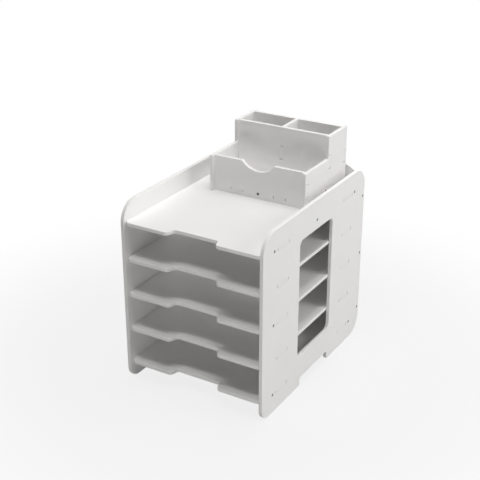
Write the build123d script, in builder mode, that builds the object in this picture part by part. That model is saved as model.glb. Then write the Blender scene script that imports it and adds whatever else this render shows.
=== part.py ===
from build123d import *
from math import radians, tan
import os

os.makedirs("parts", exist_ok=True)

# Desktop document rack cut from white board: two side panels, a deck, four shelves and a back
# panel, with a loose two-tier pen box standing on the deck. Millimetres, X along the width,
# Y from front to back, Z up. The origin is on the desk, under the middle of the rack.

# Board, and the small gaps of its joints
board = 6.0
edge_round = 0.6
slot_fit = 0.2
slot_end_fit = 1.4
slot_corner = 1.5
tenon_recess = 0.1

# Countersunk screws
head_diameter = 4.8
shank_diameter = 2.6
screw_length = 18.0
tip_length = 3.0
screw_fit = 0.1
head_sink = 0.2
head_angle = 90.0
cross_length = 2.8
cross_width = 0.7
cross_depth = 1.1

# Rack as a whole
rack_width = 260.0
rack_depth = 355.0
panel_corner = 35.0
rim_height = 32.0

# Side panels
front_foot_corner = 22.0
notch_length = 100.0
notch_height = 15.0
notch_corner = 4.0
window_length = 115.0
window_corner = 10.0
window_above_shelf = 23.0
window_below_deck = 13.0

# Shelves and deck
shelf_names = ["shelf_bottom", "shelf_lower", "shelf_middle", "shelf_upper"]
bottom_level = shelf_names.index("shelf_bottom")
middle_level = shelf_names.index("shelf_middle")
bottom_clearance = 30.0
shelf_pitch = 63.0
shelf_inset = 3.0
shelf_corner = 8.0
tenon_length = 34.0
tenon_from_end = 59.5
screw_from_end = 31.5
grip_length = 89.0
grip_depth = 16.0
grip_angle = 76.0
grip_corner = 6.0

# Back panel
back_inset = 3.0
back_clearance = 15.0
back_screw_from_bottom = 33.0
back_screw_from_top = 54.0

# Pen box: its place on the deck, a little right of the middle, and its walls
box_x = 8.0
box_rear_gap = 6.0
box_width = 182.0
box_front_tier = 81.5
box_rear_tier = 68.5
box_front_height = 63.0
box_rear_height = 103.0
box_corner = 1.5
front_wall_inset = 5.0
middle_wall_inset = 3.0
back_wall_inset = 5.0
base_lift = 6.0
wave_length = 61.0
wave_depth = 15.0
wave_shoulder = 1.5

# Pen box: its tenons
box_tenon = 22.0
base_tenon_spacing_x = 82.0
base_tenon_spacing_y = 56.0

# Places that follow from the sizes of the rack
half_width = rack_width / 2
inner_width = rack_width - 2 * board
front_y = -rack_depth / 2
rear_y = rack_depth / 2
back_panel_y = rear_y - back_inset - board
shelf_front = front_y + shelf_inset
shelf_depth = back_panel_y - shelf_front
shelf_y = shelf_front + shelf_depth / 2
undersides = [bottom_clearance + k * shelf_pitch for k in range(len(shelf_names) + 1)]
deck_underside = undersides[-1]
deck_top = deck_underside + board
side_height = deck_top + rim_height
window_bottom = bottom_clearance + board + window_above_shelf
window_top = deck_underside - window_below_deck
tenon_ys = [shelf_front + tenon_from_end, back_panel_y - tenon_from_end]
screw_ys = [shelf_front + screw_from_end, shelf_y, back_panel_y - screw_from_end]
back_screw_low = back_clearance + back_screw_from_bottom
back_screw_high = side_height - back_screw_from_top
back_screw_zs = [back_screw_low, (back_screw_low + back_screw_high) / 2, back_screw_high]

# Slots: each is longer than its tenon, because the router leaves its corners round and the
# tenon's are square
slot_width = board + 2 * slot_fit
slot_length = tenon_length + 2 * slot_end_fit
box_slot_length = box_tenon + 2 * slot_end_fit

# Screw places, as (y, z) on the outer faces of both side panels. The upper and the lower shelf
# have none: their tenons hold them between the panels.
deck_screws = [(y, deck_underside + board / 2) for y in screw_ys]
middle_shelf_screws = [(screw_ys[0], undersides[middle_level] + board / 2)]
bottom_shelf_screws = [
    (y, undersides[bottom_level] + board / 2) for y in (screw_ys[0], screw_ys[-1])
]
back_panel_screws = [(back_panel_y + board / 2, z) for z in back_screw_zs]
rack_screws = deck_screws + middle_shelf_screws + bottom_shelf_screws + back_panel_screws

# Places that follow from the sizes of the pen box
box_inner_width = box_width - 2 * board
box_depth = box_front_tier + box_rear_tier
box_rear = back_panel_y - box_rear_gap
box_front = box_rear - box_depth
front_wall_y = box_front + front_wall_inset
middle_wall_y = box_front + box_front_tier + middle_wall_inset
back_wall_y = box_rear - back_wall_inset - board
base_front = front_wall_y + board
base_depth = back_wall_y - base_front
base_y = base_front + base_depth / 2
base_underside = deck_top + base_lift
base_top = base_underside + board
base_tenon_xs = [box_x - base_tenon_spacing_x / 2, box_x + base_tenon_spacing_x / 2]
base_tenon_ys = [base_y - base_tenon_spacing_y / 2, base_y + base_tenon_spacing_y / 2]
cell_depth = back_wall_y - middle_wall_y - board
cell_y = middle_wall_y + board + cell_depth / 2
tier_wall_height = deck_top + box_rear_height - base_top
front_tenon_z = deck_top + box_front_height / 2
middle_tenon_z = base_top + tier_wall_height / 2
back_tenon_z = deck_top + box_rear_height / 2
wall_tenons = [
    (front_wall_y + board / 2, front_tenon_z),
    (middle_wall_y + board / 2, middle_tenon_z),
    (back_wall_y + board / 2, back_tenon_z),
]
box_side_screws = [(base_y, base_underside + board / 2)]

# Screw heads, and the holes that take the screws
head_radius = head_diameter / 2
shank_radius = shank_diameter / 2
head_slope = tan(radians(head_angle / 2))
head_height = (head_radius - shank_radius) / head_slope
hole_radius = shank_radius + screw_fit
seat_radius = head_radius + screw_fit + head_sink * head_slope
pilot_depth = head_sink + screw_length + screw_fit


def facing_side(side, places, centre_x=0.0, half=half_width):
    """Planes at (y, z) places on one outer face, facing out: side is 1 for right, -1 for left."""
    return [
        Plane(origin=(centre_x + side * half, y, z), x_dir=(0, 1, 0), z_dir=(side, 0, 0))
        for y, z in places
    ]


def facing_end(side, y):
    """A plane at the middle of the pen box's base on a wall at y, facing out: 1 is backward."""
    return Plane(origin=(box_x, y, base_underside + board / 2), x_dir=(1, 0, 0), z_dir=(0, side, 0))


def save(piece, name):
    """Name a finished piece and write it."""
    piece.label = name
    export_step(piece, f"parts/{name}.step")


# Screw: countersunk head with a cross recess, plain shank and pointed tip, head up at the origin
with BuildPart() as screw:
    with BuildSketch(Plane.XZ):
        with BuildLine():
            Polyline(
                (0, 0),
                (head_radius, 0),
                (shank_radius, -head_height),
                (shank_radius, tip_length - screw_length),
                (0, -screw_length),
                close=True,
            )
        make_face()
    revolve(axis=Axis.Z)
    with BuildSketch():
        Rectangle(cross_length, cross_width)
        Rectangle(cross_width, cross_length)
    extrude(amount=-cross_depth, mode=Mode.SUBTRACT)


def save_screws(spots, name):
    """Put one screw at each plane, its head just under the face, as one group of solids."""
    with BuildPart() as group:
        with Locations(*spots):
            with Locations((0, 0, -head_sink)):
                add(screw.part)
    save(group.part, name)


# Side panels: rounded outline, a notch that leaves a front and a rear foot, and a tall window
with BuildPart() as side_panel_right:
    with BuildSketch(Plane.YZ.offset(half_width - board)) as outline:
        Rectangle(rack_depth, side_height, align=(Align.CENTER, Align.MIN))
        Rectangle(notch_length, notch_height, align=(Align.CENTER, Align.MIN), mode=Mode.SUBTRACT)
        notch_mouth = outline.vertices().group_by(Axis.Y)[0].sort_by(Axis.X)[1:3]
        fillet(notch_mouth + outline.vertices().group_by(Axis.Y)[1], notch_corner)
        fillet(outline.vertices().group_by(Axis.Y)[-1], panel_corner)
        fillet(outline.vertices().group_by(Axis.Y)[0].sort_by(Axis.X)[-1], panel_corner)
        fillet(outline.vertices().group_by(Axis.Y)[0].sort_by(Axis.X)[0], front_foot_corner)
        with Locations((shelf_y, (window_bottom + window_top) / 2)):
            RectangleRounded(
                window_length, window_top - window_bottom, window_corner, mode=Mode.SUBTRACT
            )
    extrude(amount=board)
    fillet(side_panel_right.edges().filter_by(Plane.YZ), edge_round)
    with BuildSketch(Plane.YZ.offset(half_width - board)):
        with Locations(*[(y, z + board / 2) for z in undersides for y in tenon_ys]):
            RectangleRounded(slot_length, slot_width, slot_corner)
    extrude(amount=board, mode=Mode.SUBTRACT)
    with Locations(*facing_side(1, rack_screws)):
        CounterSinkHole(hole_radius, seat_radius, board, head_angle)
save(side_panel_right.part, "side_panel_right")

with BuildPart() as side_panel_left:
    mirror(side_panel_right.part, about=Plane.YZ)
save(side_panel_left.part, "side_panel_left")


def save_shelf(name, underside, screws):
    """A shelf with a finger cut-out in its front edge and tenons through both side panels."""
    with BuildPart() as shelf:
        with BuildSketch(Plane.XY.offset(underside)) as outline:
            with Locations((0, shelf_y)):
                Rectangle(inner_width, shelf_depth)
            with Locations((0, shelf_front)):
                Trapezoid(
                    grip_length,
                    grip_depth,
                    grip_angle,
                    align=(Align.CENTER, Align.MIN),
                    mode=Mode.SUBTRACT,
                )
            fillet(outline.vertices().group_by(Axis.Y)[1], grip_corner)
            fillet(outline.vertices().group_by(Axis.Y)[0], shelf_corner)
        extrude(amount=board)
        fillet(shelf.edges().filter_by(Plane.XY).sort_by(Axis.Y)[:-2], edge_round)
        with BuildSketch(Plane.XY.offset(underside)):
            with Locations(*[(0, y) for y in tenon_ys]):
                Rectangle(rack_width - 2 * tenon_recess, tenon_length)
        extrude(amount=board)
        if screws:
            with Locations(*facing_side(1, screws), *facing_side(-1, screws)):
                Hole(hole_radius, pilot_depth)
    save(shelf.part, name)


# Shelves from the bottom up, and the deck above them, alike but for their screws
shelf_screws = {bottom_level: bottom_shelf_screws, middle_level: middle_shelf_screws}
for level, name in enumerate(shelf_names):
    save_shelf(name, undersides[level], shelf_screws.get(level, []))
save_shelf("deck_panel", deck_underside, deck_screws)

# Back panel: between the side panels, its top corners rounded like theirs
with BuildPart() as back_panel:
    with BuildSketch(Plane.XZ.offset(-back_panel_y)) as outline:
        with Locations((0, back_clearance)):
            Rectangle(
                inner_width, side_height - back_clearance, align=(Align.CENTER, Align.MIN)
            )
        fillet(outline.vertices().group_by(Axis.Y)[-1], panel_corner)
    extrude(amount=-board)
    fillet(back_panel.edges().filter_by(Plane.XZ), edge_round)
    with Locations(*facing_side(1, back_panel_screws), *facing_side(-1, back_panel_screws)):
        Hole(hole_radius, pilot_depth)
save(back_panel.part, "back_panel")

for group_name, places in [
    ("deck_screws", deck_screws),
    ("middle_shelf_screws", middle_shelf_screws),
    ("bottom_shelf_screws", bottom_shelf_screws),
    ("back_panel_screws", back_panel_screws),
]:
    save_screws(facing_side(1, places) + facing_side(-1, places), group_name)

# Pen box side walls: a low front tier and a high rear tier. Their lower edges stand on the deck.
with BuildPart() as box_side_right:
    with BuildSketch(Plane.YZ.offset(box_x + box_width / 2 - board)) as outline:
        with Locations((box_front, deck_top)):
            Rectangle(box_depth, box_front_height, align=(Align.MIN, Align.MIN))
        with Locations((box_rear, deck_top)):
            Rectangle(box_rear_tier, box_rear_height, align=(Align.MAX, Align.MIN))
        fillet(outline.vertices(), box_corner)
    extrude(amount=board)
    fillet(box_side_right.edges().filter_by(Plane.YZ), edge_round)
    with BuildSketch(Plane.YZ.offset(box_x + box_width / 2 - board)):
        with Locations(*[(y, base_underside + board / 2) for y in base_tenon_ys]):
            RectangleRounded(box_slot_length, slot_width, slot_corner)
        with Locations(*wall_tenons):
            RectangleRounded(slot_width, box_slot_length, slot_corner)
    extrude(amount=board, mode=Mode.SUBTRACT)
    with Locations(*facing_side(1, box_side_screws, box_x, box_width / 2)):
        CounterSinkHole(hole_radius, seat_radius, board, head_angle)
save(box_side_right.part, "box_side_right")

with BuildPart() as box_side_left:
    mirror(box_side_right.part, about=Plane.YZ.offset(box_x))
save(box_side_left.part, "box_side_left")

# Pen box base: raised off the deck, with tenons into the side, front and back walls
with BuildPart() as box_base:
    with BuildSketch(Plane.XY.offset(base_underside)):
        with Locations((box_x, base_y)):
            Rectangle(box_inner_width, base_depth)
        with Locations(*[(box_x, y) for y in base_tenon_ys]):
            Rectangle(box_width - 2 * tenon_recess, box_tenon)
        with Locations(*[(x, base_y) for x in base_tenon_xs]):
            Rectangle(box_tenon, base_depth + 2 * (board - tenon_recess))
    extrude(amount=board)
    with Locations(
        facing_end(-1, front_wall_y),
        facing_end(1, back_wall_y + board),
        *facing_side(1, box_side_screws, box_x, box_width / 2),
        *facing_side(-1, box_side_screws, box_x, box_width / 2),
    ):
        Hole(hole_radius, pilot_depth)
save(box_base.part, "box_base")

# Pen box front wall: between the side walls, with a shallow wave cut from its top edge
with BuildPart() as box_front_wall:
    with BuildSketch(Plane.XZ.offset(-front_wall_y)) as outline:
        with Locations((box_x, deck_top)):
            Rectangle(box_inner_width, box_front_height, align=(Align.CENTER, Align.MIN))
        wave_radius = ((wave_length / 2) ** 2 + wave_depth**2) / (2 * wave_depth)
        with Locations((box_x, deck_top + box_front_height - wave_depth + wave_radius)):
            Circle(wave_radius, mode=Mode.SUBTRACT)
        fillet(outline.vertices().group_by(Axis.Y)[-1].sort_by(Axis.X)[1:3], wave_shoulder)
    extrude(amount=-board)
    fillet(box_front_wall.edges().filter_by(Plane.XZ), edge_round)
    with BuildSketch(Plane.XZ.offset(-front_wall_y)):
        with Locations((box_x, front_tenon_z)):
            Rectangle(box_width - 2 * tenon_recess, box_tenon)
    extrude(amount=-board)
    with BuildSketch(Plane.XZ.offset(-front_wall_y)):
        with Locations(*[(x, base_underside + board / 2) for x in base_tenon_xs]):
            RectangleRounded(box_slot_length, slot_width, slot_corner)
    extrude(amount=-board, mode=Mode.SUBTRACT)
    with Locations(facing_end(-1, front_wall_y)):
        CounterSinkHole(hole_radius, seat_radius, board, head_angle)
save(box_front_wall.part, "box_front_wall")

# Pen box middle wall: stands on the base at the step between the tiers
with BuildPart() as box_middle_wall:
    with BuildSketch(Plane.XZ.offset(-middle_wall_y)):
        with Locations((box_x, base_top)):
            Rectangle(box_inner_width, tier_wall_height, align=(Align.CENTER, Align.MIN))
    extrude(amount=-board)
    fillet(box_middle_wall.edges().filter_by(Plane.XZ), edge_round)
    with BuildSketch(Plane.XZ.offset(-middle_wall_y)):
        with Locations((box_x, middle_tenon_z)):
            Rectangle(box_width - 2 * tenon_recess, box_tenon)
    extrude(amount=-board)
    with BuildSketch(Plane.XZ.offset(-middle_wall_y)):
        with Locations((box_x, middle_tenon_z)):
            RectangleRounded(slot_width, box_slot_length, slot_corner)
    extrude(amount=-board, mode=Mode.SUBTRACT)
save(box_middle_wall.part, "box_middle_wall")

# Pen box back wall: full height behind the base, its lower edge on the deck
with BuildPart() as box_back_wall:
    with BuildSketch(Plane.XZ.offset(-back_wall_y)):
        with Locations((box_x, deck_top)):
            Rectangle(box_inner_width, box_rear_height, align=(Align.CENTER, Align.MIN))
    extrude(amount=-board)
    fillet(box_back_wall.edges().filter_by(Plane.XZ), edge_round)
    with BuildSketch(Plane.XZ.offset(-back_wall_y)):
        with Locations((box_x, back_tenon_z)):
            Rectangle(box_width - 2 * tenon_recess, box_tenon)
    extrude(amount=-board)
    with BuildSketch(Plane.XZ.offset(-back_wall_y)):
        with Locations(*[(x, base_underside + board / 2) for x in base_tenon_xs]):
            RectangleRounded(box_slot_length, slot_width, slot_corner)
        with Locations((box_x, middle_tenon_z)):
            RectangleRounded(slot_width, box_slot_length, slot_corner)
    extrude(amount=-board, mode=Mode.SUBTRACT)
    with Locations(facing_end(1, back_wall_y + board)):
        CounterSinkHole(hole_radius, seat_radius, board, head_angle)
save(box_back_wall.part, "box_back_wall")

# Pen box divider: parts the rear tier into two cells, with a tenon into the wall at each end
with BuildPart() as box_divider:
    with BuildSketch(Plane.YZ.offset(box_x - board / 2)):
        with Locations((cell_y, base_top)):
            Rectangle(cell_depth, tier_wall_height, align=(Align.CENTER, Align.MIN))
    extrude(amount=board)
    fillet(box_divider.edges().filter_by(Plane.YZ), edge_round)
    with BuildSketch(Plane.YZ.offset(box_x - board / 2)):
        with Locations((cell_y, middle_tenon_z)):
            Rectangle(cell_depth + 2 * (board - tenon_recess), box_tenon)
    extrude(amount=board)
save(box_divider.part, "box_divider")

save_screws([facing_end(-1, front_wall_y), facing_end(1, back_wall_y + board)], "box_base_screws")
save_screws(
    facing_side(1, box_side_screws, box_x, box_width / 2)
    + facing_side(-1, box_side_screws, box_x, box_width / 2),
    "box_side_screws",
)
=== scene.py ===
"""Looks of a desktop document rack: its board and screw finishes, the floor, light and camera."""
import logging
import math
from dataclasses import dataclass
from enum import Enum

import bmesh
import bpy
from mathutils import Matrix, Vector


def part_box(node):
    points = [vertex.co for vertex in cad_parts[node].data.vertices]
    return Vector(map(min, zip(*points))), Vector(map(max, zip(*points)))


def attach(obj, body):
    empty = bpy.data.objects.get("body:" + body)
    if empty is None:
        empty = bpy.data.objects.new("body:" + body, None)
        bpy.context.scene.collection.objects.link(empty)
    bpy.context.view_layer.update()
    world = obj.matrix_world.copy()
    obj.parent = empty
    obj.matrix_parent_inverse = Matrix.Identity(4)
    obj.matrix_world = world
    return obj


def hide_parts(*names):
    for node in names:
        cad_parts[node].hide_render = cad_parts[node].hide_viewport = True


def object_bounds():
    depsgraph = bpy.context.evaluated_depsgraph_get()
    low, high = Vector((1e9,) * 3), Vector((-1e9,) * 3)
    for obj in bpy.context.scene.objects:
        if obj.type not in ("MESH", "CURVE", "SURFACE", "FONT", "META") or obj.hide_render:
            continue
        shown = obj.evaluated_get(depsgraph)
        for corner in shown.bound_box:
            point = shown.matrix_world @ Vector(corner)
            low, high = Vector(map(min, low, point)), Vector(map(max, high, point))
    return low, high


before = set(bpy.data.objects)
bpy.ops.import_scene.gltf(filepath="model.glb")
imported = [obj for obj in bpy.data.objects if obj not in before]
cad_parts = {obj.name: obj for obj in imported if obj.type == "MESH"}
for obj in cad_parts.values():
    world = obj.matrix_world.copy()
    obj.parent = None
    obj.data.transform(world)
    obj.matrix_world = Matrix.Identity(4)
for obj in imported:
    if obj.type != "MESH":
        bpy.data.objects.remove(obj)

CAD_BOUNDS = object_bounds()
LOG = logging.getLogger("document_rack")

# Metres in a millimetre, and how near two corners lie that are one
MM = 0.001
SAME_CORNER = 0.001 * MM

# Turns about a screw's own axis
SCREW_AXIS = (0.0, 0.0, 1.0)
FULL_TURN = 2 * math.pi
QUARTER_TURN = math.pi / 2

# The sRGB curve, which is straight up to its knee and a power above it
SRGB_KNEE = 0.04045
SRGB_SLOPE = 12.92
SRGB_OFFSET = 0.055
SRGB_POWER = 2.4


def linear(hex_code: str) -> tuple[float, float, float, float]:
    """Turn an sRGB hex colour to the linear colour that a shader takes.

    Args:
        hex_code: Six hexadecimal digits after a hash sign.

    Returns:
        Red, green, blue and an alpha of 1.
    """
    channels = [int(hex_code[i : i + 2], 16) / 255 for i in (1, 3, 5)]
    low = [c / SRGB_SLOPE for c in channels]
    high = [((c + SRGB_OFFSET) / (1 + SRGB_OFFSET)) ** SRGB_POWER for c in channels]
    red, green, blue = (a if c <= SRGB_KNEE else b for c, a, b in zip(channels, low, high))
    return red, green, blue, 1.0


def empty_material(name: str) -> bpy.types.Material:
    """Make a material that has no nodes yet.

    Args:
        name: The material's name.

    Returns:
        The material.
    """
    material = bpy.data.materials.new(name)
    material.use_nodes = True
    material.node_tree.nodes.clear()
    return material


def add_node(
    owner: bpy.types.Material | bpy.types.World,
    kind: str,
    settings: dict[str, object] | None = None,
    inputs: dict[str | int, object] | None = None,
) -> bpy.types.Node:
    """Add a shader node with its settings, its socket values and its links.

    Args:
        owner: The material or world that has the node tree.
        kind: Blender's name of the node type.
        settings: Properties of the node itself.
        inputs: A value for each input socket, or an output socket to link to it.

    Returns:
        The new node.
    """
    tree = owner.node_tree
    node = tree.nodes.new(kind)
    for name, value in (settings or {}).items():
        setattr(node, name, value)
    for socket, value in (inputs or {}).items():
        if isinstance(value, bpy.types.NodeSocket):
            tree.links.new(value, node.inputs[socket])
        else:
            node.inputs[socket].default_value = value
    return node


class BoardFacing(Enum):
    """The axis that a flat board's two broad faces look along."""

    SIDEWAYS = 0
    FRONTWAYS = 1
    FLAT = 2


@dataclass(frozen=True)
class BoardLie:
    """How a flat board lies in the rack.

    Attributes:
        facing: The axis that its broad faces look along.
        middle: Place of its middle plane on that axis, in metres.
        half: Half its thickness, in metres.
    """

    facing: BoardFacing
    middle: float
    half: float

    @classmethod
    def of(cls, node: str) -> "BoardLie":
        """Read a board's lie from its box, whose shortest side is its thickness.

        Args:
            node: The CAD node of the board.

        Returns:
            The board's lie.
        """
        low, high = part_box(node)
        facing = min(BoardFacing, key=lambda one: high[one.value] - low[one.value])
        axis = facing.value
        return cls(facing, (low[axis] + high[axis]) / 2, (high[axis] - low[axis]) / 2)

    def along_and_across(self, along: float, across: float) -> tuple[float, ...]:
        """Give one value for the two axes in the board's plane and another for the third.

        Args:
            along: The value for the axes that lie in the board's plane.
            across: The value for the axis across it.

        Returns:
            A value for each of X, Y and Z.
        """
        return tuple(across if one is self.facing else along for one in BoardFacing)


@dataclass(frozen=True)
class FoamBoard:
    """Rigid PVC foam board, 6 mm thick: extruded with a closed skin, then routed to shape.

    The skin is smooth, cool white and satin, with a faint orange peel and long soft clouds where
    it ran through the die. The router leaves the edges duller and a shade warmer, with fine
    marks of the cutter across them. Between the two dense skins the cut shows the foam's open
    cells. Real cells are near 0.2 mm and cutter marks near 0.4 mm: both are drawn coarser, so
    that they show.

    Attributes:
        skin: Colour of the skin.
        cloud: Colour of the skin's clouds.
        routed: Colour of a routed edge.
        core: Colour of the open cells.
        skin_roughness: Roughness of the skin.
        cloud_roughness: Roughness of the skin's clouds.
        routed_roughness: Roughness of a routed edge.
        ior: Index of refraction.
        cloud_mm: Size of a cloud.
        peel_mm: Size of a dimple in the orange peel.
        cell_mm: Size of a cell.
        mark_mm: Width of a cutter's mark.
        mark_stretch: Width of a cutter's mark over its length.
        cloud_detail: Finer octaves in the clouds.
        cell_detail: Finer octaves in the cells.
        fine_detail: Finer octaves in the peel and the cutter's marks.
        face_slope: Cosine of the slope off the broad face at which the cut begins.
        cut_slope: Cosine of the slope at which all of it is cut.
        cell_wall: Noise at the wall of a cell.
        cell_middle: Noise in the middle of an open cell.
        skin_mm: Thickness of each dense skin.
        skin_blend_mm: Depth in which the skin goes over into foam.
        relief_mm: Height of the relief.
        relief_strength: Share of that height that the light picks up.
    """

    skin: str = "#F4F3F2"
    cloud: str = "#EFEEED"
    routed: str = "#F3F2F0"
    core: str = "#EFEDEB"
    skin_roughness: float = 0.42
    cloud_roughness: float = 0.5
    routed_roughness: float = 0.68
    ior: float = 1.5
    cloud_mm: float = 90.0
    peel_mm: float = 2.2
    cell_mm: float = 0.8
    mark_mm: float = 0.9
    mark_stretch: float = 0.04
    cloud_detail: float = 3.0
    cell_detail: float = 2.0
    fine_detail: float = 1.0
    face_slope: float = 0.95
    cut_slope: float = 0.35
    cell_wall: float = 0.55
    cell_middle: float = 0.35
    skin_mm: float = 0.7
    skin_blend_mm: float = 0.5
    relief_mm: float = 0.035
    relief_strength: float = 0.5

    def material(self, node: str) -> bpy.types.Material:
        """Make the material of one board.

        Args:
            node: The CAD node of the board, whose lie tells the skin from the cut edges.

        Returns:
            The material.
        """
        lie = BoardLie.of(node)
        material = empty_material(f"foam_board_{node}")
        place = add_node(material, "ShaderNodeTexCoord")
        point = place.outputs["Object"]
        on_cut = self.add_on_cut(material, lie, place.outputs["Normal"])
        in_core = self.add_in_core(material, lie, point)
        clouds = add_node(
            material,
            "ShaderNodeTexNoise",
            inputs={
                "Vector": point,
                "Scale": 1 / (self.cloud_mm * MM),
                "Detail": self.cloud_detail,
            },
        ).outputs["Fac"]
        cells = add_node(
            material,
            "ShaderNodeTexNoise",
            inputs={
                "Vector": point,
                "Scale": 1 / (self.cell_mm * MM),
                "Detail": self.cell_detail,
            },
        ).outputs["Fac"]
        satin = add_node(
            material,
            "ShaderNodeMapRange",
            inputs={
                "Value": clouds,
                "To Min": self.skin_roughness,
                "To Max": self.cloud_roughness,
            },
        )
        roughness = add_node(
            material,
            "ShaderNodeMix",
            {"data_type": "FLOAT"},
            {"Factor": on_cut, "A": satin.outputs["Result"], "B": self.routed_roughness},
        )
        surface = add_node(
            material,
            "ShaderNodeBsdfPrincipled",
            inputs={
                "Base Color": self.add_colour(material, on_cut, in_core, clouds, cells),
                "Roughness": roughness.outputs["Result"],
                "IOR": self.ior,
                "Normal": self.add_relief(material, lie, point, on_cut, in_core, cells),
            },
        )
        add_node(
            material, "ShaderNodeOutputMaterial", inputs={"Surface": surface.outputs["BSDF"]}
        )
        return material

    def add_on_cut(
        self, material: bpy.types.Material, lie: BoardLie, normal: bpy.types.NodeSocket
    ) -> bpy.types.NodeSocket:
        """Add nodes that are 0 on the broad faces and 1 on the routed edges.

        Args:
            material: The board's material.
            lie: How the board lies.
            normal: The surface normal.

        Returns:
            The share of cut edge.
        """
        across = add_node(
            material,
            "ShaderNodeVectorMath",
            {"operation": "DOT_PRODUCT"},
            {0: normal, 1: lie.along_and_across(0.0, 1.0)},
        )
        flatness = add_node(
            material, "ShaderNodeMath", {"operation": "ABSOLUTE"}, {0: across.outputs["Value"]}
        )
        on_cut = add_node(
            material,
            "ShaderNodeMapRange",
            {"interpolation_type": "SMOOTHSTEP"},
            {
                "Value": flatness.outputs["Value"],
                "From Min": self.face_slope,
                "From Max": self.cut_slope,
            },
        )
        return on_cut.outputs["Result"]

    def add_in_core(
        self, material: bpy.types.Material, lie: BoardLie, point: bpy.types.NodeSocket
    ) -> bpy.types.NodeSocket:
        """Add nodes that are 0 in the two dense skins and 1 in the foam between them.

        Args:
            material: The board's material.
            lie: How the board lies.
            point: The surface point, in metres.

        Returns:
            The share of foam.
        """
        across = add_node(
            material,
            "ShaderNodeVectorMath",
            {"operation": "DOT_PRODUCT"},
            {0: point, 1: lie.along_and_across(0.0, 1.0)},
        )
        from_middle = add_node(
            material,
            "ShaderNodeMath",
            {"operation": "SUBTRACT"},
            {0: across.outputs["Value"], 1: lie.middle},
        )
        distance = add_node(
            material,
            "ShaderNodeMath",
            {"operation": "ABSOLUTE"},
            {0: from_middle.outputs["Value"]},
        )
        foam_half = lie.half - self.skin_mm * MM
        in_core = add_node(
            material,
            "ShaderNodeMapRange",
            {"interpolation_type": "SMOOTHSTEP"},
            {
                "Value": distance.outputs["Value"],
                "From Min": foam_half,
                "From Max": foam_half - self.skin_blend_mm * MM,
            },
        )
        return in_core.outputs["Result"]

    def add_colour(
        self,
        material: bpy.types.Material,
        on_cut: bpy.types.NodeSocket,
        in_core: bpy.types.NodeSocket,
        clouds: bpy.types.NodeSocket,
        cells: bpy.types.NodeSocket,
    ) -> bpy.types.NodeSocket:
        """Add the colours of skin, routed edge and foam.

        Args:
            material: The board's material.
            on_cut: The share of cut edge.
            in_core: The share of foam.
            clouds: Long soft noise.
            cells: Noise at the size of the foam's cells.

        Returns:
            The colour.
        """
        skin = add_node(
            material,
            "ShaderNodeMix",
            {"data_type": "RGBA"},
            {"Factor": clouds, "A": linear(self.skin), "B": linear(self.cloud)},
        )
        open_cells = add_node(
            material,
            "ShaderNodeMapRange",
            inputs={"Value": cells, "From Min": self.cell_wall, "From Max": self.cell_middle},
        )
        foam = add_node(
            material,
            "ShaderNodeMath",
            {"operation": "MULTIPLY"},
            {0: open_cells.outputs["Result"], 1: in_core},
        )
        edge = add_node(
            material,
            "ShaderNodeMix",
            {"data_type": "RGBA"},
            {"Factor": foam.outputs["Value"], "A": linear(self.routed), "B": linear(self.core)},
        )
        colour = add_node(
            material,
            "ShaderNodeMix",
            {"data_type": "RGBA"},
            {"Factor": on_cut, "A": skin.outputs["Result"], "B": edge.outputs["Result"]},
        )
        return colour.outputs["Result"]

    def add_relief(
        self,
        material: bpy.types.Material,
        lie: BoardLie,
        point: bpy.types.NodeSocket,
        on_cut: bpy.types.NodeSocket,
        in_core: bpy.types.NodeSocket,
        cells: bpy.types.NodeSocket,
    ) -> bpy.types.NodeSocket:
        """Add the orange peel of the skin, and the cutter's marks and open cells of the edge.

        Args:
            material: The board's material.
            lie: How the board lies.
            point: The surface point, in metres.
            on_cut: The share of cut edge.
            in_core: The share of foam.
            cells: Noise at the size of the foam's cells.

        Returns:
            The bumped normal.
        """
        peel = add_node(
            material,
            "ShaderNodeTexNoise",
            inputs={
                "Vector": point,
                "Scale": 1 / (self.peel_mm * MM),
                "Detail": self.fine_detail,
            },
        )
        stretched = add_node(
            material,
            "ShaderNodeVectorMath",
            {"operation": "MULTIPLY"},
            {0: point, 1: lie.along_and_across(1.0, self.mark_stretch)},
        )
        marks = add_node(
            material,
            "ShaderNodeTexNoise",
            inputs={
                "Vector": stretched.outputs["Vector"],
                "Scale": 1 / (self.mark_mm * MM),
                "Detail": self.fine_detail,
            },
        )
        edge = add_node(
            material,
            "ShaderNodeMath",
            {"operation": "MULTIPLY_ADD"},
            {0: cells, 1: in_core, 2: marks.outputs["Fac"]},
        )
        height = add_node(
            material,
            "ShaderNodeMix",
            {"data_type": "FLOAT"},
            {"Factor": on_cut, "A": peel.outputs["Fac"], "B": edge.outputs["Value"]},
        )
        relief = add_node(
            material,
            "ShaderNodeBump",
            inputs={
                "Strength": self.relief_strength,
                "Distance": self.relief_mm * MM,
                "Height": height.outputs["Result"],
            },
        )
        return relief.outputs["Normal"]


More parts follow.
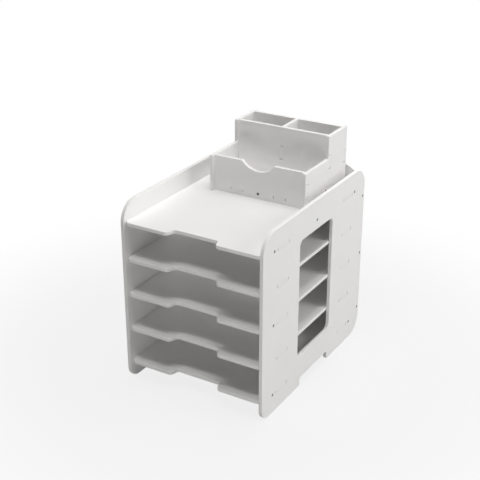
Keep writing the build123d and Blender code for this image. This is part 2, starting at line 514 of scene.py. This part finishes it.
@dataclass(frozen=True)
class BlackenedZinc:
    """Steel screws, cold formed, plated with zinc and blackened.

    The plating is near black and a little brown, with a dull sheen that is uneven where the
    screws tumbled against each other.

    Attributes:
        plating: Colour of the plating.
        worn: Colour of the plating where it is rubbed.
        smooth: Roughness where it is rubbed.
        dull: Roughness elsewhere.
        metallic: Share of metal in the surface.
        grain_mm: Size of a rubbed patch.
        grain_detail: Finer octaves in the patches.
    """

    plating: str = "#4A4745"
    worn: str = "#6E6B68"
    smooth: float = 0.3
    dull: float = 0.46
    metallic: float = 1.0
    grain_mm: float = 0.4
    grain_detail: float = 3.0

    def material(self) -> bpy.types.Material:
        """Make the screws' material.

        Returns:
            The material.
        """
        material = empty_material("blackened_zinc")
        place = add_node(material, "ShaderNodeTexCoord")
        grain = add_node(
            material,
            "ShaderNodeTexNoise",
            inputs={
                "Vector": place.outputs["Object"],
                "Scale": 1 / (self.grain_mm * MM),
                "Detail": self.grain_detail,
            },
        )
        colour = add_node(
            material,
            "ShaderNodeMix",
            {"data_type": "RGBA"},
            {"Factor": grain.outputs["Fac"], "A": linear(self.plating), "B": linear(self.worn)},
        )
        roughness = add_node(
            material,
            "ShaderNodeMapRange",
            inputs={"Value": grain.outputs["Fac"], "To Min": self.dull, "To Max": self.smooth},
        )
        surface = add_node(
            material,
            "ShaderNodeBsdfPrincipled",
            inputs={
                "Base Color": colour.outputs["Result"],
                "Metallic": self.metallic,
                "Roughness": roughness.outputs["Result"],
            },
        )
        add_node(
            material, "ShaderNodeOutputMaterial", inputs={"Surface": surface.outputs["BSDF"]}
        )
        return material


@dataclass(frozen=True)
class Screw:
    """A countersunk self-tapping screw with a tapered cross recess, in millimetres.

    It fills the seat and the pilot hole of the plain CAD screw that it stands for. Its own axis
    is Z, with the flat of the head at zero and the tip below.

    Attributes:
        segments: Sides of the turned body.
        outline: Radius and height of each corner, from the rim of the head to the tip.
        recess_long: From the axis to the end of an arm of the recess.
        recess_wide: Half the width of an arm.
        recess_depth: Depth of the recess.
        recess_taper: Size of the recess's floor over its mouth.
        recess_edge: Width of the bevel round its mouth.
        thread_core: Radius at the foot of the thread's ridge.
        thread_crest: Radius at its crest.
        thread_half: Half the width of its foot.
        thread_start: Height of its upper end.
        thread_pitch: How far it falls in one turn.
        thread_turns: Its number of turns.
        thread_segments: Steps in one of its turns.
        sharp_angle: Angle, in degrees, past which an edge looks sharp.
    """

    segments: int = 40
    outline: tuple[tuple[float, float], ...] = (
        (2.24, 0.0),
        (2.34, -0.08),
        (1.3, -1.12),
        (1.3, -2.5),
        (0.95, -2.8),
        (0.95, -15.2),
        (0.45, -17.2),
        (0.0, -18.0),
    )
    recess_long: float = 1.4
    recess_wide: float = 0.36
    recess_depth: float = 1.0
    recess_taper: float = 0.3
    recess_edge: float = 0.05
    thread_core: float = 0.9
    thread_crest: float = 1.34
    thread_half: float = 0.24
    thread_start: float = -3.2
    thread_pitch: float = 1.1
    thread_turns: int = 11
    thread_segments: int = 20
    sharp_angle: float = 35.0

    @staticmethod
    def add_line(
        shape: bmesh.types.BMesh, points: list[tuple[float, float, float]]
    ) -> list[bmesh.types.BMVert | bmesh.types.BMEdge]:
        """Add an open line of edges through a few points.

        Args:
            shape: The mesh that takes it.
            points: The points in millimetres.

        Returns:
            Its vertices and edges.
        """
        corners = [shape.verts.new(Vector(point) * MM) for point in points]
        return corners + [shape.edges.new(pair) for pair in zip(corners, corners[1:])]

    def turn_body(self, shape: bmesh.types.BMesh) -> None:
        """Turn the outline of head, neck, core and tip round the axis.

        Args:
            shape: The mesh that takes the body.
        """
        bmesh.ops.spin(
            shape,
            geom=self.add_line(shape, [(r, 0.0, z) for r, z in self.outline]),
            axis=SCREW_AXIS,
            angle=FULL_TURN,
            steps=self.segments,
            use_merge=True,
        )

    def sink_recess(self, shape: bmesh.types.BMesh) -> None:
        """Close the flat of the head round a tapered cross recess.

        Args:
            shape: The mesh of the turned body.
        """
        # The recess's mouth: one arm, and three more a quarter turn apart
        long, wide = self.recess_long, self.recess_wide
        rim = [edge for edge in shape.edges if edge.is_boundary]
        arm = [(wide, -wide, 0.0), (long, -wide, 0.0), (long, wide, 0.0), (wide, wide, 0.0)]
        more_arms = 3
        bmesh.ops.spin(
            shape,
            geom=self.add_line(shape, arm),
            axis=SCREW_AXIS,
            angle=more_arms * QUARTER_TURN,
            steps=more_arms,
            use_duplicate=True,
        )
        bmesh.ops.remove_doubles(shape, verts=shape.verts, dist=SAME_CORNER)

        # The flat between the mouth and the rim of the head
        rim = [edge for edge in rim if edge.is_valid]
        mouth = [edge for edge in shape.edges if edge.is_wire]
        bmesh.ops.triangle_fill(shape, use_beauty=True, edges=rim + mouth)

        # The recess's walls, its floor and the bevel round its mouth
        sunk = bmesh.ops.extrude_edge_only(shape, edges=mouth)["geom"]
        corners = [part for part in sunk if isinstance(part, bmesh.types.BMVert)]
        floor = [part for part in sunk if isinstance(part, bmesh.types.BMEdge)]
        bmesh.ops.scale(shape, vec=(self.recess_taper, self.recess_taper, 1.0), verts=corners)
        bmesh.ops.translate(shape, vec=(0.0, 0.0, -self.recess_depth * MM), verts=corners)
        bmesh.ops.edgeloop_fill(shape, edges=floor)
        bmesh.ops.bevel(
            shape,
            geom=mouth,
            offset=self.recess_edge * MM,
            affect="EDGES",
            segments=1,
            profile=0.5,
            material=-1,
        )

    def wind_thread(self, shape: bmesh.types.BMesh) -> None:
        """Wind the thread's ridge round the core.

        Args:
            shape: The mesh that takes it.
        """
        ridge = [
            (self.thread_core, 0.0, self.thread_start + self.thread_half),
            (self.thread_crest, 0.0, self.thread_start),
            (self.thread_core, 0.0, self.thread_start - self.thread_half),
        ]
        face = shape.faces.new([shape.verts.new(Vector(point) * MM) for point in ridge])
        steps = self.thread_turns * self.thread_segments
        bmesh.ops.spin(
            shape,
            geom=[face],
            axis=SCREW_AXIS,
            angle=self.thread_turns * FULL_TURN,
            steps=steps,
            dvec=(0.0, 0.0, -self.thread_turns * self.thread_pitch * MM / steps),
        )

    def mesh(self) -> bpy.types.Mesh:
        """Build one screw's mesh.

        Returns:
            The mesh, head up at the origin.
        """
        shape = bmesh.new()
        self.turn_body(shape)
        self.sink_recess(shape)
        self.wind_thread(shape)
        bmesh.ops.remove_doubles(shape, verts=shape.verts, dist=SAME_CORNER)
        bmesh.ops.recalc_face_normals(shape, faces=shape.faces)
        mesh = bpy.data.meshes.new("screw")
        shape.to_mesh(mesh)
        shape.free()
        mesh.shade_smooth()
        mesh.set_sharp_from_angle(angle=math.radians(self.sharp_angle))
        return mesh


@dataclass
class BoardAssembly:
    """Flat foam boards, tenoned into each other and held by screws.

    Attributes:
        body: The body that it moves with.
        boards: The CAD nodes of its boards.
        screw_groups: The CAD nodes of its screws.
        screw_turn: How far each screw's cross is turned from the last one's, in degrees.
    """

    body: str
    boards: tuple[str, ...]
    screw_groups: tuple[str, ...]
    screw_turn: float = 37.0

    def dress_boards(self, finish: FoamBoard) -> None:
        """Give each board its foam-board material.

        Args:
            finish: The boards' finish.
        """
        for node in self.boards:
            material = finish.material(node)
            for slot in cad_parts[node].material_slots:
                slot.material = material
            LOG.info("%s: %s", node, material.name)

    def fit_screws(self, screw: bpy.types.Mesh, finish: bpy.types.Material) -> None:
        """Put a finely made screw in place of each plain CAD screw.

        Args:
            screw: The mesh of one screw, head up at the origin.
            finish: The screws' material.
        """
        for node in self.screw_groups:
            group = bmesh.new()
            for place in self.screw_places(node):
                placed = screw.copy()
                placed.transform(place)
                group.from_mesh(placed)
                bpy.data.meshes.remove(placed)
            mesh = bpy.data.meshes.new(f"fine_{node}")
            group.to_mesh(mesh)
            group.free()
            mesh.materials.append(finish)
            piece = bpy.data.objects.new(f"fine_{node}", mesh)
            bpy.context.scene.collection.objects.link(piece)
            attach(piece, self.body)
            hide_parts(node)
            LOG.info("%s: %d faces", piece.name, len(mesh.polygons))

    def screw_places(self, node: str) -> list[Matrix]:
        """Find where the screws of a CAD node sit and which way their heads face.

        Args:
            node: The CAD node that holds the plain screws.

        Returns:
            One matrix for each screw, from the screw's own axes to the rack's.
        """
        shape = bmesh.new()
        shape.from_mesh(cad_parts[node].data)
        bmesh.ops.remove_doubles(shape, verts=shape.verts, dist=SAME_CORNER)
        left = set(shape.verts)
        places = []
        while left:
            # One screw is all the corners that edges lead to from its first
            island = [left.pop()]
            for vertex in island:
                near = {edge.other_vert(vertex) for edge in vertex.link_edges} & left
                left -= near
                island += near
            places.append(self.screw_place([vertex.co.copy() for vertex in island]))
        shape.free()
        places.sort(key=lambda place: tuple(place.translation))
        return [
            place @ Matrix.Rotation(math.radians(self.screw_turn * k), 4, "Z")
            for k, place in enumerate(places)
        ]

    @staticmethod
    def screw_place(points: list[Vector]) -> Matrix:
        """Find one screw's place from its points.

        Args:
            points: The corners of the plain screw.

        Returns:
            The matrix from the screw's own axes to the rack's.
        """
        low = Vector([min(p[k] for p in points) for k in range(3)])
        high = Vector([max(p[k] for p in points) for k in range(3)])
        long = max(range(3), key=lambda k: high[k] - low[k])
        middle = (low + high) / 2

        # The head is at the end that has the corner furthest from the screw's axis
        def from_axis(point: Vector) -> float:
            """Give the square of a point's distance from the screw's axis."""
            return (point - middle).length_squared - (point[long] - middle[long]) ** 2

        sign = 1.0 if max(points, key=from_axis)[long] > middle[long] else -1.0
        head = middle.copy()
        head[long] = high[long] if sign > 0 else low[long]
        axis = Vector([sign if k == long else 0.0 for k in range(3)])
        return Matrix.Translation(head) @ axis.to_track_quat("Z", "X").to_matrix().to_4x4()


@dataclass
class ShelfRack(BoardAssembly):
    """The fixed rack: side panels, back panel, deck and shelves."""

    body: str = "rack"
    boards: tuple[str, ...] = (
        "side_panel_left",
        "side_panel_right",
        "back_panel",
        "deck_panel",
        "shelf_upper",
        "shelf_middle",
        "shelf_lower",
        "shelf_bottom",
    )
    screw_groups: tuple[str, ...] = (
        "deck_screws",
        "middle_shelf_screws",
        "bottom_shelf_screws",
        "back_panel_screws",
    )


@dataclass
class PenBox(BoardAssembly):
    """The loose two-tier pen box."""

    body: str = "pen_box"
    boards: tuple[str, ...] = (
        "box_side_left",
        "box_side_right",
        "box_front_wall",
        "box_middle_wall",
        "box_back_wall",
        "box_divider",
        "box_base",
    )
    screw_groups: tuple[str, ...] = ("box_base_screws", "box_side_screws")


@dataclass(frozen=True)
class SoftLamp:
    """A soft area lamp that looks at the middle of the rack.

    Attributes:
        name: The lamp's name in the scene.
        direction: From the rack to the lamp.
        distance: From the middle of the rack to the lamp, in metres.
        width: Width of the lamp in metres.
        height: Height of the lamp in metres.
        power: Radiant power in watts.
    """

    name: str
    direction: tuple[float, float, float]
    distance: float
    width: float
    height: float
    power: float

    def hang(self) -> None:
        """Put the lamp in the scene, where the camera doesn't see it."""
        low, high = CAD_BOUNDS
        middle = (Vector(low) + Vector(high)) / 2
        light = bpy.data.lights.new(self.name, "AREA")
        light.shape = "RECTANGLE"
        light.size = self.width
        light.size_y = self.height
        light.energy = self.power
        lamp = bpy.data.objects.new(self.name, light)
        direction = Vector(self.direction).normalized()
        lamp.location = middle + direction * self.distance
        lamp.rotation_euler = direction.to_track_quat("Z", "Y").to_euler()
        lamp.visible_camera = False
        bpy.context.scene.collection.objects.link(lamp)


@dataclass
class Studio:
    """A pale floor, a white surround, and soft lamps above, in front and on the right.

    Two weaker lamps on the left and behind fill the sides that the photograph doesn't show.

    Attributes:
        floor_half: Half the floor's side, in metres.
        floor_drop_mm: How far the floor lies below the rack's feet.
        floor_colour: Colour of the floor under light.
        floor_white: Share of plain white in the floor under the rack.
        fade_start: How far out the floor starts to fade to plain white, in metres.
        fade_end: How far out it is all white, in metres.
        white: Colour of the surround and of the faded floor.
        seen_strength: Strength of that white where it is seen.
        ambient: Strength of the surround where it lights.
        lamps: The lamps.
    """

    floor_half: float = 6.0
    floor_drop_mm: float = 0.2
    floor_colour: str = "#BDBDBC"
    floor_white: float = 0.82
    fade_start: float = 0.3
    fade_end: float = 0.75
    white: str = "#FFFFFF"
    seen_strength: float = 1.0
    ambient: float = 0.08
    lamps: tuple[SoftLamp, ...] = (
        SoftLamp("top_lamp", (0.10, 0.12, 0.99), 1.9, 1.0, 1.0, 11.8),
        SoftLamp("high_front_lamp", (0.10, -0.32, 0.95), 1.9, 1.0, 0.3, 11.6),
        SoftLamp("low_front_lamp", (0.35, -0.93, -0.10), 0.95, 0.6, 0.12, 1.2),
        SoftLamp("right_lamp", (0.90, 0.20, 0.38), 1.8, 1.0, 1.0, 14.9),
        SoftLamp("left_lamp", (-0.95, 0.12, 0.22), 1.9, 1.0, 1.0, 8.8),
        SoftLamp("back_lamp", (-0.10, 0.97, 0.22), 1.9, 1.0, 1.0, 9.8),
    )

    def lay_floor(self) -> None:
        """Lay the floor just below the rack's feet."""
        mesh = bpy.data.meshes.new("floor")
        shape = bmesh.new()
        bmesh.ops.create_grid(shape, x_segments=1, y_segments=1, size=self.floor_half)
        drop = (0.0, 0.0, -self.floor_drop_mm * MM)
        bmesh.ops.translate(shape, vec=drop, verts=shape.verts)
        shape.to_mesh(mesh)
        shape.free()
        floor = bpy.data.objects.new("floor", mesh)
        bpy.context.scene.collection.objects.link(floor)
        mesh.materials.append(self.floor_material())

    def floor_material(self) -> bpy.types.Material:
        """Make a pale floor that fades to plain white away from the rack and keeps its shadow.

        Returns:
            The material.
        """
        material = empty_material("pale_floor")
        place = add_node(material, "ShaderNodeTexCoord")
        reach = add_node(
            material, "ShaderNodeVectorMath", {"operation": "LENGTH"}, {0: place.outputs["Object"]}
        )
        faded = add_node(
            material,
            "ShaderNodeMapRange",
            {"interpolation_type": "SMOOTHSTEP"},
            {
                "Value": reach.outputs["Value"],
                "From Min": self.fade_start,
                "From Max": self.fade_end,
                "To Min": self.floor_white,
                "To Max": 1.0,
            },
        )
        amount = add_node(
            material,
            "ShaderNodeMath",
            {"operation": "MULTIPLY"},
            {0: faded.outputs["Result"], 1: self.add_seen(material)},
        )
        paper = add_node(
            material, "ShaderNodeBsdfDiffuse", inputs={"Color": linear(self.floor_colour)}
        )
        glow = add_node(
            material,
            "ShaderNodeEmission",
            inputs={"Color": linear(self.white), "Strength": self.seen_strength},
        )
        blend = add_node(
            material,
            "ShaderNodeMixShader",
            inputs={
                0: amount.outputs["Value"],
                1: paper.outputs["BSDF"],
                2: glow.outputs["Emission"],
            },
        )
        add_node(
            material, "ShaderNodeOutputMaterial", inputs={"Surface": blend.outputs["Shader"]}
        )
        return material

    @staticmethod
    def add_seen(owner: bpy.types.Material | bpy.types.World) -> bpy.types.NodeSocket:
        """Add nodes that are 1 for camera, glossy and transmission rays and 0 for all others.

        Args:
            owner: The material or world that gets the nodes.

        Returns:
            The output socket.
        """
        path = add_node(owner, "ShaderNodeLightPath")
        either = add_node(
            owner,
            "ShaderNodeMath",
            {"operation": "MAXIMUM"},
            {0: path.outputs["Is Camera Ray"], 1: path.outputs["Is Glossy Ray"]},
        )
        seen = add_node(
            owner,
            "ShaderNodeMath",
            {"operation": "MAXIMUM"},
            {0: either.outputs["Value"], 1: path.outputs["Is Transmission Ray"]},
        )
        return seen.outputs["Value"]

    def light_world(self) -> None:
        """Make the surround: white where it is seen, and a dimmer fill where it lights."""
        world = bpy.data.worlds.new("studio_surround")
        world.use_nodes = True
        world.node_tree.nodes.clear()
        strength = add_node(
            world,
            "ShaderNodeMapRange",
            inputs={
                "Value": self.add_seen(world),
                "To Min": self.ambient,
                "To Max": self.seen_strength,
            },
        )
        glow = add_node(
            world,
            "ShaderNodeBackground",
            inputs={"Color": linear(self.white), "Strength": strength.outputs["Result"]},
        )
        add_node(world, "ShaderNodeOutputWorld", inputs={"Surface": glow.outputs["Background"]})
        bpy.context.scene.world = world

    def set_up(self) -> None:
        """Lay the floor, light the surround and hang the lamps."""
        self.lay_floor()
        self.light_world()
        for lamp in self.lamps:
            lamp.hang()


@dataclass
class PhotographCamera:
    """A camera at the photograph's place, in front of the rack, to its right and above it.

    Attributes:
        position: Its place in metres.
        azimuth: How far round to the right of the rack's front it stands, in degrees.
        elevation: How far down it looks, in degrees.
        lens_mm: Focal length.
        sensor_mm: Width of the sensor.
    """

    position: tuple[float, float, float] = (0.7816, -1.3320, 0.9214)
    azimuth: float = 30.915
    elevation: float = 24.491
    lens_mm: float = 75.45
    sensor_mm: float = 36.0

    def place(self) -> None:
        """Make the camera and give it to the scene."""
        data = bpy.data.cameras.new("photograph_camera")
        data.lens = self.lens_mm
        data.sensor_width = self.sensor_mm
        camera = bpy.data.objects.new("photograph_camera", data)
        camera.location = self.position
        turn, tilt = math.radians(self.azimuth), math.radians(self.elevation)
        view = Vector(
            (-math.sin(turn) * math.cos(tilt), math.cos(turn) * math.cos(tilt), -math.sin(tilt))
        )
        camera.rotation_euler = view.to_track_quat("-Z", "Y").to_euler()
        bpy.context.scene.collection.objects.link(camera)
        bpy.context.scene.camera = camera


def main() -> None:
    """Dress the rack, its pen box and its screws, and set up the studio and the camera."""
    logging.basicConfig(level=logging.INFO, format="%(message)s")
    board, zinc, screw = FoamBoard(), BlackenedZinc().material(), Screw().mesh()
    for assembly in (ShelfRack(), PenBox()):
        assembly.dress_boards(board)
        assembly.fit_screws(screw, zinc)
    bpy.data.meshes.remove(screw)
    Studio().set_up()
    PhotographCamera().place()
    bpy.context.scene.view_settings.view_transform = "Standard"


if __name__ == "__main__":
    main()
